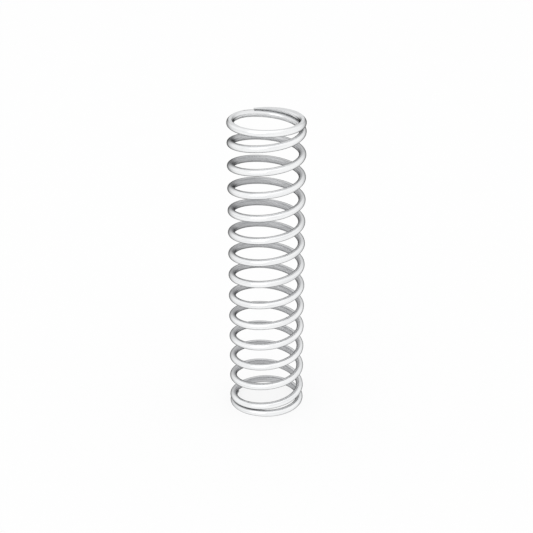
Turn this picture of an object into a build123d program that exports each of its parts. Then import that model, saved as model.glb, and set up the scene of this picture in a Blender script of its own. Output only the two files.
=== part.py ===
from build123d import *
import os
from math import atan, cos, pi, radians, sin

# Small compression spring: round wire wound right-handed into a cylinder of
# open coils, with one closed turn at each end, ground flat to stand square.
# Millimetres. The origin is the centre of the lower ground face, and +Z runs
# along the coil's axis. Angles are in degrees, seen from above, and grow the
# way the coil climbs.

# Driving sizes
outside_diameter = 12.0
wire_diameter = 1.1
free_length = 48.5
active_turns = 13
grind_depth = 0.05  # cut off the wire where the closed turn lies level
tip_thickness = 0.13  # what grinding leaves of the wire at its very end
closed_gap = 0.04  # between a closed turn and the coil that it leans on
blend_angle = 16.0  # half the stretch over which the wire changes its slope
junction_angle = 132.0  # plan angle at which both closed turns meet the coils

# Worked out from them
wire_radius = wire_diameter / 2
coil_radius = (outside_diameter - wire_diameter) / 2
end_height = wire_radius - grind_depth
pitch = (free_length - 2 * end_height) / active_turns
lead_angle = atan(pitch / (2 * pi * coil_radius))
stacked_rise = (wire_diameter + closed_gap) / cos(lead_angle)
lean_angle = 360 * stacked_rise / pitch
tip_angle = 360 * (tip_thickness + stacked_rise - wire_radius - end_height) / pitch


def climb(angle):
    """Height that the wire has gained at an angle past the place where it
    leaves the level and starts to climb at full pitch, its corner rounded."""
    if angle <= -blend_angle:
        return 0.0
    if angle >= blend_angle:
        return pitch * angle / 360
    return pitch * (angle + blend_angle) ** 2 / (4 * blend_angle) / 360


def wire_height(angle):
    """Height of the wire's centre at an angle along it from its lower end.
    It climbs along the coil above, lies level, then climbs as open coils."""
    return end_height - climb(lean_angle - angle) + climb(angle - 360)


def wire_centre(angle):
    """Centre of the wire at an angle along it from its lower end."""
    turn = radians(angle)
    return Vector(
        coil_radius * cos(turn), coil_radius * sin(turn), wire_height(angle)
    )


def climbing_run(start, stop):
    """Centre line of wire that climbs at full pitch between two angles."""
    run = Helix(pitch, pitch * (stop - start) / 360, coil_radius)
    return Pos(0, 0, wire_height(start)) * Rot(0, 0, start) * run


def level_run(start, stop):
    """Centre line of wire that lies level in the closed turn."""
    return Pos(0, 0, end_height) * CenterArc((0, 0), coil_radius, start, stop - start)


def blend(before, after, middle):
    """Centre line that eases the wire from one run's slope to the next's."""
    between = [wire_centre(middle + blend_angle * share) for share in (-0.5, 0, 0.5)]
    return Spline(before @ 1, *between, after @ 0, tangents=(before % 1, after % 0))


def turned_over(run):
    """The same run at the other end: the spring is alike either way up."""
    return run.rotate(Axis((0, 0, free_length / 2), (1, 0, 0)), 180)


def wire_path():
    """Centre line of the whole wire, with both closed turns' ends on +X."""
    leaning = climbing_run(tip_angle, lean_angle - blend_angle)
    level = level_run(lean_angle + blend_angle, 360 - blend_angle)
    coils = climbing_run(360 + blend_angle, 360 * (active_turns + 1) - blend_angle)
    closed_turn = [
        leaning,
        blend(leaning, level, lean_angle),
        level,
        blend(level, coils, 360),
    ]
    upper_turn = [turned_over(run) for run in reversed(closed_turn)]
    return Wire([run.edge() for run in closed_turn + [coils] + upper_turn])


def wound_wire():
    """Round wire along the centre line, before its ends are ground."""
    path = wire_path()
    section = Plane(origin=path @ 0, z_dir=path % 0) * Circle(wire_radius)
    return sweep(section, path=path)


def coil_spring():
    """The finished spring: both ends ground square to the axis."""
    between_wheels = Pos(0, 0, free_length / 2) * Box(
        2 * outside_diameter, 2 * outside_diameter, free_length
    )
    return Rot(0, 0, junction_angle) * (wound_wire() & between_wheels)


os.makedirs("parts", exist_ok=True)
export_step(coil_spring(), "parts/coil_spring.step")
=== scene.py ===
"""Looks of a small compression spring: one bright steel wire with ground ends.

Everything is in metres, in the frame of the CAD model. The spring stands on the
floor on its lower ground face, and the axis of its coil is +Z.
"""

import logging
from dataclasses import dataclass, field
from enum import Enum, IntEnum
from math import atan, atan2, ceil, cos, degrees, pi, radians, sin
from typing import Any

import bmesh
import bpy
from mathutils import Matrix, Vector


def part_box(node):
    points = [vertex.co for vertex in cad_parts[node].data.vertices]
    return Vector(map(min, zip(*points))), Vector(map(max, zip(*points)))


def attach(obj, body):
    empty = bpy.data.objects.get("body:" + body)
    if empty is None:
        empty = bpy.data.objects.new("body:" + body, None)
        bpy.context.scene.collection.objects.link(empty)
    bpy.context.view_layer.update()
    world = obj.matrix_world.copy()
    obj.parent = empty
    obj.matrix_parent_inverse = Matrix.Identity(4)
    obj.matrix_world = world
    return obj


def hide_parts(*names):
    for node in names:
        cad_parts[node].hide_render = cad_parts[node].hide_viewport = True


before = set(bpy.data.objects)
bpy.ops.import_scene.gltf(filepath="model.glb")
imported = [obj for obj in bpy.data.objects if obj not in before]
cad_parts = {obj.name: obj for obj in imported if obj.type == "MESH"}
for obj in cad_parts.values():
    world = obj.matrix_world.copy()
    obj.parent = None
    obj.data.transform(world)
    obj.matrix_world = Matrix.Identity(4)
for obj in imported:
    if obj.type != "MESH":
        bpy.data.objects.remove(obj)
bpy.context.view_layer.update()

log = logging.getLogger("spring")

CAD_NODE = "coil_spring"
BODY = "root"
STRAIGHT = "straight_wire"
ROOM = "room_to_next_turn"
MM = 0.001
UP = Vector((0.0, 0.0, 1.0))
NOISE_ROUGHNESS = 0.55


class MixSocket(IntEnum):
    """Places of the colour sockets of a Mix node, which share their names."""

    AMOUNT = 0
    FIRST = 6
    SECOND = 7
    RESULT = 2


class Socket:
    """A shader value that plain arithmetic turns into Math nodes."""

    def __init__(self, graph: "Graph", socket: bpy.types.NodeSocket | None) -> None:
        """Wrap an output socket of the graph, or none for a node without outputs."""
        self.graph = graph
        self.socket = socket

    def _math(self, operation: str, *values: "Value") -> "Socket":
        """Return the result of one Math node over the values given."""
        inputs = dict(enumerate(values))
        return self.graph.add("ShaderNodeMath", {"operation": operation}, inputs)

    def __add__(self, other: "Value") -> "Socket":
        """Return self + other."""
        return self._math("ADD", self, other)

    def __radd__(self, other: "Value") -> "Socket":
        """Return other + self."""
        return self._math("ADD", other, self)

    def __sub__(self, other: "Value") -> "Socket":
        """Return self - other."""
        return self._math("SUBTRACT", self, other)

    def __rsub__(self, other: "Value") -> "Socket":
        """Return other - self."""
        return self._math("SUBTRACT", other, self)

    def __mul__(self, other: "Value") -> "Socket":
        """Return self * other."""
        return self._math("MULTIPLY", self, other)

    def __rmul__(self, other: "Value") -> "Socket":
        """Return other * self."""
        return self._math("MULTIPLY", other, self)

    def __truediv__(self, other: "Value") -> "Socket":
        """Return self / other."""
        return self._math("DIVIDE", self, other)

    def __rtruediv__(self, other: "Value") -> "Socket":
        """Return other / self."""
        return self._math("DIVIDE", other, self)

    def at_most(self, other: "Value") -> "Socket":
        """Return the smaller of self and other."""
        return self._math("MINIMUM", self, other)

    def ramp(self, low: float, high: float) -> "Socket":
        """Return a smooth climb from 0 to 1.

        Args:
            low: The value up to which the result is 0.
            high: The value from which the result is 1.

        Returns:
            The climb, with a soft start and stop.
        """
        settings = {"interpolation_type": "SMOOTHSTEP"}
        inputs = {"Value": self, "From Min": low, "From Max": high}
        return self.graph.add("ShaderNodeMapRange", settings, inputs)


Colour = tuple[float, float, float, float]
Value = Socket | float | tuple[float, ...]


class Graph:
    """The node graph of one material or of the world."""

    def __init__(self, tree: bpy.types.NodeTree) -> None:
        """Take over a node tree and clear it."""
        self.tree = tree
        tree.nodes.clear()

    def add(
        self,
        kind: str,
        settings: dict[str, Any] | None = None,
        inputs: dict[str | int, Value] | None = None,
        output: str | int = 0,
    ) -> Socket:
        """Add one node.

        Args:
            kind: The node's type name.
            settings: Properties of the node, which are set before its inputs.
            inputs: Values or wrapped sockets for the node's inputs.
            output: The output that is wanted, by name or place.

        Returns:
            The wanted output, wrapped.
        """
        node = self.tree.nodes.new(kind)
        for name, value in (settings or {}).items():
            setattr(node, name, value)
        for key, value in (inputs or {}).items():
            if isinstance(value, Socket):
                self.tree.links.new(value.socket, node.inputs[key])
            else:
                node.inputs[key].default_value = value
        return Socket(self, node.outputs[output] if len(node.outputs) else None)

    def noise(self, at: Socket, scale: float = 1.0, detail: float = 2.0) -> Socket:
        """Spread noise over a vector.

        Args:
            at: The vector.
            scale: Waves of noise in one unit of the vector.
            detail: How many finer layers of noise lie over the first.

        Returns:
            Noise between 0 and 1, mostly near a half.
        """
        settings = {"noise_dimensions": "3D"}
        inputs = {"Vector": at, "Scale": scale, "Detail": detail}
        inputs["Roughness"] = NOISE_ROUGHNESS
        return self.add("ShaderNodeTexNoise", settings, inputs)

    def stretched(self, at: Socket, by: tuple[float, float, float]) -> Socket:
        """Return a vector with each of its axes multiplied."""
        settings = {"operation": "MULTIPLY"}
        return self.add("ShaderNodeVectorMath", settings, {0: at, 1: by})

    def blended(self, amount: Value, first: Value, second: Value) -> Socket:
        """Blend two colours.

        Args:
            amount: Share of the second colour, from 0 to 1.
            first: The first colour.
            second: The second colour.

        Returns:
            The colour between them.
        """
        settings = {"data_type": "RGBA"}
        inputs = {
            MixSocket.AMOUNT: amount,
            MixSocket.FIRST: first,
            MixSocket.SECOND: second,
        }
        return self.add("ShaderNodeMix", settings, inputs, MixSocket.RESULT)

    def end_in_metal(
        self,
        colour: Socket,
        roughness: Socket,
        relief: Socket,
        depth: float,
        edge_tint: Colour,
    ) -> None:
        """End the graph in the shader of a bare metal.

        Args:
            colour: The colour, over the surface.
            roughness: The roughness, over the surface.
            relief: Fine relief over the surface, from 0 to 1.
            depth: The depth of that relief.
            edge_tint: Tint of what the metal reflects where it turns away.
        """
        inputs = {"Strength": 1.0, "Distance": depth, "Height": relief}
        bump = self.add("ShaderNodeBump", None, inputs)
        inputs = {
            "Base Color": colour,
            "Metallic": 1.0,
            "Roughness": roughness,
            "Specular Tint": edge_tint,
            "Normal": bump,
        }
        shader = self.add("ShaderNodeBsdfPrincipled", None, inputs)
        self.add("ShaderNodeOutputMaterial", None, {"Surface": shader})


def new_material(name: str) -> tuple[bpy.types.Material, Graph]:
    """Make an empty node material.

    Args:
        name: The material's name.

    Returns:
        The material and its node graph.
    """
    material = bpy.data.materials.new(name)
    material.use_nodes = True
    return material, Graph(material.node_tree)


def put_in_scene(name: str, data: bpy.types.ID) -> bpy.types.Object:
    """Make an object at the origin and link it to the scene.

    Args:
        name: The object's name.
        data: Its mesh, lamp or camera.

    Returns:
        The object.
    """
    thing = bpy.data.objects.new(name, data)
    bpy.context.scene.collection.objects.link(thing)
    return thing


@dataclass(frozen=True)
class DrawnWire:
    """Bright drawn wire: satin, with fine lines along it. Painted shade darkens it
    towards the inside of the coil, where the coils shade each other, and painted shade
    darkens the crease where a closed turn lies against the next. The top turn is left
    lighter, as painted light from above. The sides of the painted inner shade are
    shares of the wire's radius, outwards from its centre, its amounts are shares of
    full shade, and the turns count from the top.
    """

    wire_radius: float
    wire_length: float
    turn_length: float
    bright: Colour = (0.94, 0.945, 0.95, 1.0)
    dull: Colour = (0.80, 0.81, 0.82, 1.0)
    # Painted shade: the grey that the inside of the coil is darkened towards, where
    # the coils shade each other.
    painted_inner_shade: Colour = (0.50, 0.505, 0.515, 1.0)
    # Painted shade: the dark colour for the crease where a closed turn lies close to
    # the next.
    painted_crease_shade: Colour = (0.18, 0.185, 0.19, 1.0)
    edge_tint: Colour = (0.0, 0.0, 0.0, 1.0)
    roughness: float = 0.16
    dull_roughness: float = 0.10
    inner_shade_roughness: float = 0.14
    crease_shade_roughness: float = 0.20
    full_shade_side: float = -0.80
    unshaded_side: float = 0.90
    frayed: float = 0.25
    inner_shade_on_coils: float = 0.88
    # Painted light: the top turn carries less painted shade, as if lit from above.
    inner_shade_on_top: float = 0.15
    painted_lit_turns: float = 0.7
    full_shade_turns: float = 2.6
    crease_shade_room: float = 0.45 * MM
    crease_shade_share: float = 0.65
    line_width: float = 0.11 * MM
    line_length: float = 14.0 * MM
    line_depth: float = 0.0020 * MM
    line_detail: float = 4.0
    line_share: float = 0.7
    patch_length: float = 5.0 * MM
    dull_below: float = 0.36
    bright_above: float = 0.56

    def shade_below_top(self, graph: Graph, straight: Socket) -> Socket:
        """Return 0 on the top turn, left light as painted light from above, climbing
        to 1 on the coils below.

        Args:
            graph: The material's node graph.
            straight: Where each point lay in the straight wire.

        Returns:
            The share of painted inner shade and painted crease shade that the top
            turn's painted light leaves.
        """
        along = graph.add("ShaderNodeSeparateXYZ", None, {0: straight}, "Z")
        turns = (self.wire_length - along) / self.turn_length
        return turns.ramp(self.painted_lit_turns, self.full_shade_turns)

    def inner_shade_side(self, graph: Graph, straight: Socket, patches: Socket) -> Socket:
        """Return the painted shade: 1 on the inside of the coil, falling to 0 on the
        outside.

        Args:
            graph: The material's node graph.
            straight: Where each point lay in the straight wire.
            patches: Slow noise along the wire, which frays the painted shade's border.

        Returns:
            The share of full painted shade that this side of the wire gets.
        """
        outward = graph.add("ShaderNodeSeparateXYZ", None, {0: straight}, "X")
        side = outward / self.wire_radius + self.frayed * (patches - 0.5)
        return 1.0 - side.ramp(self.full_shade_side, self.unshaded_side)

    def material(self) -> bpy.types.Material:
        """Build the material, whose lines follow the wire's own length.

        Returns:
            The finished material.
        """
        material, graph = new_material("drawn_wire")
        settings = {"attribute_name": STRAIGHT}
        straight = graph.add("ShaderNodeAttribute", settings, output="Vector")
        by = (1 / self.line_width, 1 / self.line_width, 1 / self.line_length)
        lines = graph.noise(graph.stretched(straight, by), detail=self.line_detail)
        patches = graph.noise(straight, 1 / self.patch_length)
        wear = patches * (1 - self.line_share) + lines * self.line_share
        wear = wear.ramp(self.dull_below, self.bright_above)
        # Painted light: the top turn is left light, as light from above would leave
        # it.
        below_lit_top = self.shade_below_top(graph, straight)
        most = self.inner_shade_on_top + below_lit_top * (self.inner_shade_on_coils - self.inner_shade_on_top)
        # Painted shade: darker towards the inside of the coil, where the coils shade
        # each other.
        painted_inner_shade = most * self.inner_shade_side(graph, straight, patches)
        # Painted shade: dark where a turn has little room before the next, in the
        # crease that it shades.
        settings = {"attribute_name": ROOM}
        room = graph.add("ShaderNodeAttribute", settings, output="Fac")
        narrow = 1.0 - room.ramp(0.0, self.crease_shade_room)
        painted_crease_shade = self.crease_shade_share * below_lit_top * narrow
        colour = graph.blended(wear, self.dull, self.bright)
        # Blends in the painted shade of the coil's inside, then the painted shade of
        # the creases.
        colour = graph.blended(painted_inner_shade, colour, self.painted_inner_shade)
        colour = graph.blended(painted_crease_shade, colour, self.painted_crease_shade)
        duller = self.inner_shade_roughness * painted_inner_shade + self.crease_shade_roughness * painted_crease_shade
        duller = duller + self.dull_roughness * (1.0 - wear)
        roughness = self.roughness + duller
        graph.end_in_metal(colour, roughness, lines, self.line_depth, self.edge_tint)
        return material


@dataclass(frozen=True)
class GroundFlat:
    """Flat left by the grinding wheel: a little greyer than the wire, with fine
    parallel scratches, which are dull in their valleys and bright on their ridges.
    """

    bright: Colour = (0.78, 0.785, 0.79, 1.0)
    dull: Colour = (0.56, 0.57, 0.58, 1.0)
    edge_tint: Colour = (1.0, 1.0, 1.0, 1.0)
    roughness: float = 0.34
    dull_roughness: float = 0.12
    scratch_width: float = 0.02 * MM
    scratch_length: float = 3.0 * MM
    scratch_depth: float = 0.0015 * MM
    scratch_detail: float = 3.0
    valley: float = 0.32
    ridge: float = 0.68

    def material(self) -> bpy.types.Material:
        """Build the material, whose scratches run straight across both ends.

        Returns:
            The finished material.
        """
        material, graph = new_material("ground_flat")
        place = graph.add("ShaderNodeTexCoord", output="Object")
        by = (1 / self.scratch_length, 1 / self.scratch_width, 1 / self.scratch_length)
        scratches = graph.noise(graph.stretched(place, by), detail=self.scratch_detail)
        relief = scratches.ramp(self.valley, self.ridge)
        colour = graph.blended(relief, self.dull, self.bright)
        roughness = self.roughness + self.dull_roughness * (1.0 - relief)
        graph.end_in_metal(
            colour, roughness, relief, self.scratch_depth, self.edge_tint
        )
        return material


@dataclass(frozen=True)
class StudioFloor:
    """Plain pale floor, which shows white and keeps a soft shadow."""

    pale: Colour = (0.90, 0.90, 0.90, 1.0)
    paler: Colour = (0.92, 0.92, 0.92, 1.0)
    white: Colour = (1.0, 1.0, 1.0, 1.0)
    patch_size: float = 17.0 * MM
    shadow_share: float = 0.18

    def material(self) -> bpy.types.Material:
        """Build the material: matt, lifted to white for the eye and for reflections.

        Returns:
            The finished material.
        """
        material, graph = new_material("studio_floor")
        place = graph.add("ShaderNodeTexCoord", output="Object")
        patches = graph.noise(place, 1 / self.patch_size)
        colour = graph.blended(patches, self.pale, self.paler)
        matt = graph.add("ShaderNodeBsdfDiffuse", None, {"Color": colour})
        inputs = {"Color": self.white, "Strength": 1.0}
        white = graph.add("ShaderNodeEmission", None, inputs)
        seen = graph.add("ShaderNodeLightPath", output="Is Camera Ray")
        seen = seen + graph.add("ShaderNodeLightPath", output="Is Glossy Ray")
        seen = seen + graph.add("ShaderNodeLightPath", output="Is Transmission Ray")
        lift = seen.at_most(1.0) * (1.0 - self.shadow_share)
        shader = graph.add("ShaderNodeMixShader", None, {0: lift, 1: matt, 2: white})
        graph.add("ShaderNodeOutputMaterial", None, {"Surface": shader})
        return material


class End(Enum):
    """The two ends of the spring, by the direction that each one faces."""

    LOWER = -1
    UPPER = 1


class Finish(IntEnum):
    """The finishes on the spring, in the order of its material slots."""

    WIRE = 0
    GROUND = 1


@dataclass(frozen=True)
class CoilShape:
    """Sizes of the wound wire. Angles are in degrees along the wire, and the
    heights are those of the wire's centre above the lower ground face.
    """

    free_length: float
    outside_diameter: float
    wire_diameter: float = 1.1 * MM
    active_turns: int = 13
    grind_depth: float = 0.05 * MM
    tip_thickness: float = 0.13 * MM
    closed_gap: float = 0.04 * MM
    blend_angle: float = 16.0
    junction_angle: float = 132.0

    @property
    def wire_radius(self) -> float:
        """Radius of the round wire."""
        return self.wire_diameter / 2

    @property
    def coil_radius(self) -> float:
        """Radius of the cylinder on which the wire's centre lies."""
        return (self.outside_diameter - self.wire_diameter) / 2

    @property
    def end_height(self) -> float:
        """Height of the wire's centre where the closed turn lies level."""
        return self.wire_radius - self.grind_depth

    @property
    def pitch(self) -> float:
        """Rise of the open coils in one turn."""
        return (self.free_length - 2 * self.end_height) / self.active_turns

    @property
    def stacked_rise(self) -> float:
        """Height between the centres of two turns that lean on each other."""
        lead = atan(self.pitch / (2 * pi * self.coil_radius))
        return (self.wire_diameter + self.closed_gap) / cos(lead)

    @property
    def lean_angle(self) -> float:
        """Angle at which the wire's end stops leaning and lies level."""
        return 360 * self.stacked_rise / self.pitch

    @property
    def tip_angle(self) -> float:
        """Angle at which the wire starts, where grinding leaves a thin tip."""
        drop = self.tip_thickness + self.stacked_rise - self.wire_radius
        return 360 * (drop - self.end_height) / self.pitch

    @property
    def leaving_angle(self) -> float:
        """Angle at which the wire has left the level and climbs at full pitch."""
        return 360 + self.blend_angle

    @property
    def whole_angle(self) -> float:
        """Angle from the start of the lower turn to the end of the upper one."""
        return 360.0 * (self.active_turns + 2)

    def climb(self, angle: float) -> float:
        """Height gained past a place where the wire starts to climb.

        Args:
            angle: Angle past that place, whose corner is rounded.

        Returns:
            The height gained.
        """
        if angle <= -self.blend_angle:
            return 0.0
        if angle >= self.blend_angle:
            return self.pitch * angle / 360
        risen = self.pitch * (angle + self.blend_angle) ** 2 / (4 * self.blend_angle)
        return risen / 360

    def height(self, angle: float) -> float:
        """Height of the wire's centre.

        Args:
            angle: Angle along the whole wire.

        Returns:
            The height above the lower ground face.
        """
        if angle > self.whole_angle / 2:
            return self.free_length - self.height(self.whole_angle - angle)
        leaning = self.climb(self.lean_angle - angle)
        return self.end_height - leaning + self.climb(angle - 360)

    def steepness(self, angle: float) -> float:
        """Share of the full slope, at an angle past a place where the climb starts."""
        share = (angle + self.blend_angle) / (2 * self.blend_angle)
        return min(max(share, 0.0), 1.0)

    def slope(self, angle: float) -> float:
        """Slope of the wire.

        Args:
            angle: Angle along the whole wire.

        Returns:
            The slope, in radians.
        """
        lower = min(angle, self.whole_angle - angle)
        share = self.steepness(self.lean_angle - lower) + self.steepness(lower - 360)
        return atan(share * self.pitch / (2 * pi * self.coil_radius))

    def outward(self, angle: float) -> Vector:
        """Direction from the coil's axis to the wire, at an angle along it."""
        return Vector((cos(radians(angle)), sin(radians(angle)), 0.0))

    def centre(self, angle: float) -> Vector:
        """Centre of the wire at an angle along it."""
        return self.outward(angle) * self.coil_radius + UP * self.height(angle)

    def room_at(self, point: Vector, angle: float) -> float:
        """Measure the room that a point of the wire has before the next turn.

        Args:
            point: A point on the wire's surface, before the spring is turned.
            angle: The point's angle along the wire.

        Returns:
            The distance to the surface of the nearer turn, above or below.
        """
        first, last = self.tip_angle, self.whole_angle - self.tip_angle
        turns = [turn for turn in (angle - 360, angle + 360) if first <= turn <= last]
        nearest = min((point - self.centre(turn)).length for turn in turns)
        return nearest - self.wire_radius

    def angle_near(self, point: Vector) -> float:
        """Find which place along the wire a point belongs to.

        Args:
            point: A point in or on the wire, before the spring is turned.

        Returns:
            The angle along the whole wire.
        """
        turn = degrees(atan2(point.y, point.x)) % 360
        guess = round((point.z - self.end_height) / self.pitch + 1 - turn / 360)
        likely = [turn + 360 * (guess + more) for more in (-1, 0, 1)]
        wound = [angle for angle in likely if 0 <= angle <= self.whole_angle]
        return min(wound, key=lambda angle: abs(point.z - self.height(angle)))


@dataclass
class SpringCoil:
    """The whole spring: one round wire, wound, closed and ground at both ends.
    Points nearer than the join gap are one point, and those nearer than the cut
    gap to the wheel's plane lie in it.
    """

    shape: CoilShape
    wire_finish: DrawnWire
    ground_finish: GroundFlat
    wire_sides: int = 32
    steps_per_turn: int = 72
    join_gap: float = 0.001 * MM
    cut_gap: float = 0.0001 * MM
    name: str = "wound_wire"
    mesh: bmesh.types.BMesh = field(init=False, repr=False)

    def ring_at(self, angle: float) -> list[bmesh.types.BMVert]:
        """Place a ring of points round the wire, square to it.

        Args:
            angle: Angle along the wire.

        Returns:
            The ring's points.
        """
        ring = bmesh.ops.create_circle(
            self.mesh, segments=self.wire_sides, radius=self.shape.wire_radius
        )["verts"]
        half_side = Matrix.Rotation(pi / self.wire_sides, 4, "Z")
        upright = Matrix.Rotation(pi / 2, 4, "X") @ half_side
        tilt = Matrix.Rotation(self.shape.slope(angle), 4, "X")
        turn = Matrix.Rotation(radians(angle), 4, "Z")
        place = Matrix.Translation(self.shape.centre(angle)) @ turn @ tilt @ upright
        bmesh.ops.transform(self.mesh, matrix=place, verts=ring)
        return ring

    def wind(self, start: float, stop: float, capped: bool) -> list[Any]:
        """Wind a length of wire round the axis, a few degrees at a time.

        Args:
            start: Angle along the wire at which it starts.
            stop: Angle at which it stops.
            capped: Whether its first end is closed by a face.

        Returns:
            All the geometry of that length.
        """
        before = {*self.mesh.verts, *self.mesh.edges, *self.mesh.faces}
        steps = ceil(self.steps_per_turn * (stop - start) / 360)
        step = (stop - start) / steps
        ring = self.ring_at(start)
        edges = list({edge for vert in ring for edge in vert.link_edges})
        if capped:
            bmesh.ops.contextual_create(self.mesh, geom=edges)
        for index in range(steps):
            here, there = start + step * index, start + step * (index + 1)
            wound = bmesh.ops.spin(
                self.mesh,
                geom=ring + edges,
                axis=UP,
                dvec=UP * (self.shape.height(there) - self.shape.height(here)),
                angle=radians(step),
                steps=1,
            )["geom_last"]
            ring = [part for part in wound if isinstance(part, bmesh.types.BMVert)]
            edges = [part for part in wound if isinstance(part, bmesh.types.BMEdge)]
            change = self.shape.slope(there) - self.shape.slope(here)
            bmesh.ops.rotate(
                self.mesh,
                cent=self.shape.centre(there),
                matrix=Matrix.Rotation(change, 3, self.shape.outward(there)),
                verts=ring,
            )
        after = [*self.mesh.verts, *self.mesh.edges, *self.mesh.faces]
        return [part for part in after if part not in before]

    def close_ends(self) -> None:
        """Wind the closed turn of the lower end, and turn it over for the upper."""
        lower = self.wind(self.shape.tip_angle, self.shape.leaving_angle, capped=True)
        upper = bmesh.ops.duplicate(self.mesh, geom=lower)["geom"]
        bmesh.ops.rotate(
            self.mesh,
            cent=UP * (self.shape.free_length / 2),
            matrix=Matrix.Rotation(pi, 3, "X"),
            verts=[part for part in upper if isinstance(part, bmesh.types.BMVert)],
        )

    def wind_coils(self) -> None:
        """Wind one stretch of open coil, and repeat it up to the upper end."""
        start = self.shape.leaving_angle
        turn = (self.shape.whole_angle - 2 * start) / self.shape.active_turns
        stretch = self.wind(start, start + turn, capped=False)
        bmesh.ops.spin(
            self.mesh,
            geom=stretch,
            axis=UP,
            dvec=UP * (self.shape.pitch * turn / 360),
            angle=radians(turn) * (self.shape.active_turns - 1),
            steps=self.shape.active_turns - 1,
            use_duplicate=True,
        )

    def mark_points(self) -> None:
        """Note on each point where it lay when the wire was still straight, and how
        much room it has before the next turn.
        """
        shape = self.shape
        straight = self.mesh.verts.layers.float_vector.new(STRAIGHT)
        room = self.mesh.verts.layers.float.new(ROOM)
        for vert in self.mesh.verts:
            angle = shape.angle_near(vert.co)
            outward = shape.outward(angle)
            above = Matrix.Rotation(shape.slope(angle), 3, outward) @ UP
            offset = vert.co - shape.centre(angle)
            along = radians(angle) * shape.coil_radius
            vert[straight] = (offset.dot(outward), offset.dot(above), along)
            vert[room] = shape.room_at(vert.co, angle)

    def grind(self, end: End) -> None:
        """Grind one end flat and square to the axis.

        Args:
            end: The end that goes to the wheel.
        """
        level = self.shape.free_length if end is End.UPPER else 0.0
        geometry = [*self.mesh.verts, *self.mesh.edges, *self.mesh.faces]
        cut = bmesh.ops.bisect_plane(
            self.mesh,
            geom=geometry,
            dist=self.cut_gap,
            plane_co=UP * level,
            plane_no=UP * end.value,
            clear_outer=True,
        )["geom_cut"]
        rim = [part for part in cut if isinstance(part, bmesh.types.BMEdge)]
        for edge in rim:
            edge.smooth = False
        flat = bmesh.ops.triangle_fill(
            self.mesh, use_beauty=True, use_dissolve=False, edges=rim
        )["geom"]
        for part in flat:
            if isinstance(part, bmesh.types.BMFace):
                part.material_index = Finish.GROUND
                part.smooth = False

    def build(self) -> bpy.types.Object:
        """Build the spring.

        Returns:
            The finished piece.
        """
        self.mesh = bmesh.new()
        self.close_ends()
        self.wind_coils()
        bmesh.ops.remove_doubles(self.mesh, verts=self.mesh.verts, dist=self.join_gap)
        tips = [face for face in self.mesh.faces if len(face.verts) == self.wire_sides]
        for face in self.mesh.faces:
            face.smooth = face not in tips
        self.mark_points()
        for end in End:
            self.grind(end)
        bmesh.ops.recalc_face_normals(self.mesh, faces=self.mesh.faces)
        bmesh.ops.rotate(
            self.mesh,
            matrix=Matrix.Rotation(radians(self.shape.junction_angle), 3, "Z"),
            verts=self.mesh.verts,
        )
        data = bpy.data.meshes.new(self.name)
        self.mesh.to_mesh(data)
        self.mesh.free()
        return put_in_scene(self.name, data)

    def dress(self, piece: bpy.types.Object) -> None:
        """Give the piece its finishes and tie it to the CAD model.

        Args:
            piece: The piece that build() made.
        """
        finishes = {Finish.WIRE: self.wire_finish, Finish.GROUND: self.ground_finish}
        for slot in Finish:
            piece.data.materials.append(finishes[slot].material())
        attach(piece, BODY)
        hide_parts(CAD_NODE)


def place_facing(
    thing: bpy.types.Object,
    target: Vector,
    azimuth: float,
    elevation: float,
    distance: float,
) -> None:
    """Place a lamp or camera round a point, facing it.

    Args:
        thing: The lamp or camera.
        target: The point that it faces.
        azimuth: Degrees from the front, growing to the right.
        elevation: Degrees above the level of the target.
        distance: Distance from the target.
    """
    turn, lift = radians(azimuth), radians(elevation)
    away = Vector((sin(turn) * cos(lift), -cos(turn) * cos(lift), sin(lift)))
    thing.location = target + away * distance
    thing.rotation_euler = away.to_track_quat("Z", "Y").to_euler()


@dataclass(frozen=True)
class Lamp:
    """One soft rectangular lamp, aimed at the middle of the spring."""

    name: str
    azimuth: float
    elevation: float
    distance: float
    width: float
    height: float
    brightness: float

    def build(self, target: Vector) -> None:
        """Hang the lamp.

        Args:
            target: The point that it is aimed at.
        """
        data = bpy.data.lights.new(self.name, "AREA")
        data.shape = "RECTANGLE"
        data.size = self.width
        data.size_y = self.height
        data.energy = self.brightness * self.width * self.height * pi
        lamp = put_in_scene(self.name, data)
        place_facing(lamp, target, self.azimuth, self.elevation, self.distance)


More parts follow.
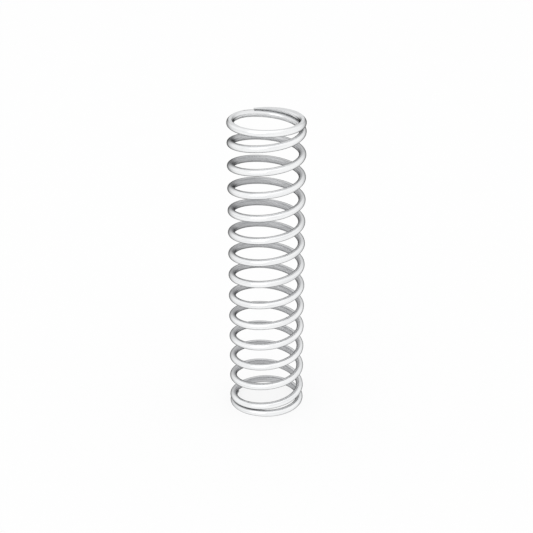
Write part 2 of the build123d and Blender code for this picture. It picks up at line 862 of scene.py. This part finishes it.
@dataclass(frozen=True)
class Studio:
    """Pale floor, soft lamps, plain world and camera."""

    floor_size: float = 6.0
    floor_squares: int = 8
    floor_gap: float = 0.02 * MM
    world_level: float = 1.0
    camera_azimuth: float = 0.0
    camera_elevation: float = 25.22
    camera_distance: float = 0.17775
    lens: float = 76.09
    sensor_width: float = 36.0
    nearest: float = 0.005
    floor_finish: StudioFloor = StudioFloor()
    lamps: tuple[Lamp, ...] = (
        Lamp(
            name="top_lamp",
            azimuth=0.0,
            elevation=80.0,
            distance=1.2,
            width=1.2,
            height=1.2,
            brightness=0.15,
        ),
        Lamp(
            name="front_lamp",
            azimuth=-30.0,
            elevation=30.0,
            distance=1.4,
            width=1.1,
            height=1.0,
            brightness=0.4,
        ),
    )

    def build_floor(self) -> None:
        """Lay the floor under the spring."""
        mesh = bmesh.new()
        bmesh.ops.create_grid(
            mesh,
            x_segments=self.floor_squares,
            y_segments=self.floor_squares,
            size=self.floor_size / 2,
            matrix=Matrix.Translation(UP * -self.floor_gap),
        )
        data = bpy.data.meshes.new("studio_floor")
        mesh.to_mesh(data)
        mesh.free()
        data.materials.append(self.floor_finish.material())
        floor = put_in_scene("studio_floor", data)

    def build_world(self) -> None:
        """Light the room evenly from all round."""
        world = bpy.data.worlds.new("studio_world")
        world.use_nodes = True
        graph = Graph(world.node_tree)
        level = (self.world_level, self.world_level, self.world_level, 1.0)
        inputs = {"Color": level, "Strength": 1.0}
        shader = graph.add("ShaderNodeBackground", None, inputs)
        graph.add("ShaderNodeOutputWorld", None, {"Surface": shader})
        bpy.context.scene.world = world

    def build_camera(self, target: Vector) -> None:
        """Set up the camera.

        Args:
            target: The point at the middle of its view.
        """
        data = bpy.data.cameras.new("studio_camera")
        data.lens = self.lens
        data.sensor_width = self.sensor_width
        data.clip_start = self.nearest
        camera = put_in_scene("studio_camera", data)
        azimuth, elevation = self.camera_azimuth, self.camera_elevation
        place_facing(camera, target, azimuth, elevation, self.camera_distance)
        bpy.context.scene.camera = camera

    def build(self, target: Vector) -> None:
        """Build the whole studio.

        Args:
            target: The point that the camera and the lamps face.
        """
        self.build_floor()
        self.build_world()
        for lamp in self.lamps:
            lamp.build(target)
        self.build_camera(target)
        bpy.context.scene.view_settings.view_transform = "Standard"


def main() -> None:
    """Build the spring, then the studio round it."""
    logging.basicConfig(level=logging.INFO, format="%(name)s: %(message)s")
    low, high = (Vector(corner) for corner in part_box(CAD_NODE))
    shape = CoilShape(free_length=high.z - low.z, outside_diameter=high.x - low.x)
    turn_length = 2 * pi * shape.coil_radius
    wire_length = turn_length * shape.whole_angle / 360
    finish = DrawnWire(shape.wire_radius, wire_length, turn_length)
    coil = SpringCoil(shape, finish, GroundFlat())
    piece = coil.build()
    coil.dress(piece)
    log.info("%s: %d faces", piece.name, len(piece.data.polygons))
    Studio().build((low + high) / 2)
    log.info("studio: built")


if __name__ == "__main__":
    main()
